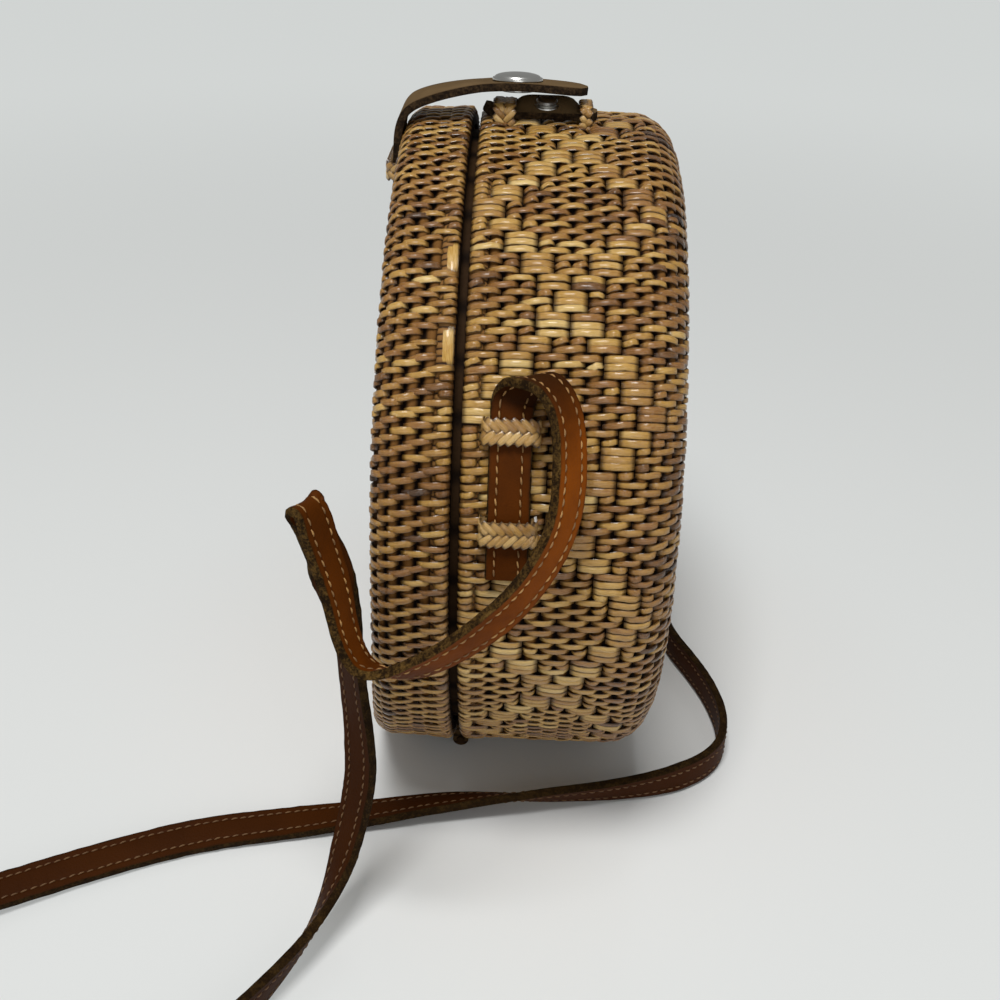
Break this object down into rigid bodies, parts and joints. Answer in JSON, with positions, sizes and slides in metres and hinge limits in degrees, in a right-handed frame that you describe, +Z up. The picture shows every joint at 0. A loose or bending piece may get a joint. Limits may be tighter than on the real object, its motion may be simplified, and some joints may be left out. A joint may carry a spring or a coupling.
{
  "type": "circle bag",
  "caption": "Round woven bag standing on its rim, with a hinged lid, a leather flap with a press stud, and a long leather shoulder strap held by braided loops.",
  "frame": {"origin": "on the ground below the middle of the bag's depth, where the round wall touches it", "axes": "+X along the drum from the lid to the body's back, +Z up, -Y towards the side with the strap lying in front"},
  "size_m": [0.2466, 0.3153, 0.2121],
  "materials": {
    "woven_vine": "smoked woven vine, golden to tan, with dark gaps",
    "rim_vine": "wrapped vine rim",
    "braided_vine": "pale braided straw",
    "collar_cane": "split cane",
    "lining_cloth": "plain woven cotton",
    "flap_leather": "dark brown leather with raw edges",
    "strap_leather": "cognac leather with cream stitches and raw edges",
    "snap_metal": "polished nickel"
  },
  "bodies": {
    "body": {"body_basket": "woven_vine", "body_rim_hoop": "rim_vine", "body_lining": "lining_cloth", "body_collar": "collar_cane", "body_hinge_loop_front": "braided_vine", "body_hinge_loop_rear": "braided_vine", "hinge_pin_front": "collar_cane", "hinge_pin_rear": "collar_cane", "clasp_tab": "flap_leather", "snap_stud": "snap_metal", "tab_loop_inner": "braided_vine", "tab_loop_outer": "braided_vine", "strap_loop_near_upper": "braided_vine", "strap_loop_near_lower": "braided_vine", "strap_loop_far_upper": "braided_vine", "strap_loop_far_lower": "braided_vine", "strap_end_near": "strap_leather", "strap_end_far": "strap_leather", "shoulder_strap": "strap_leather"},
    "lid": {"lid_basket": "woven_vine", "lid_rim_hoop": "rim_vine", "lid_lining": "lining_cloth", "lid_hinge_loop_front": "braided_vine", "lid_hinge_loop_rear": "braided_vine", "flap_anchor": "flap_leather", "flap_keeper_loop": "braided_vine"},
    "flap": {"clasp_flap": "flap_leather", "snap_cap": "snap_metal", "snap_socket": "snap_metal"}
  },
  "joints": [
    {"name": "lid_hinge", "type": "hinge", "parent": "body", "child": "lid", "pos_m": [-0.0157, 0, 0.00261], "axis": [0, -1, 0], "range_deg": [0, 55]},
    {"name": "flap_lift", "type": "hinge", "parent": "lid", "child": "flap", "pos_m": [-0.02908, 0, 0.20637], "axis": [0, -1, 0], "range_deg": [0, 100]}
  ]
}
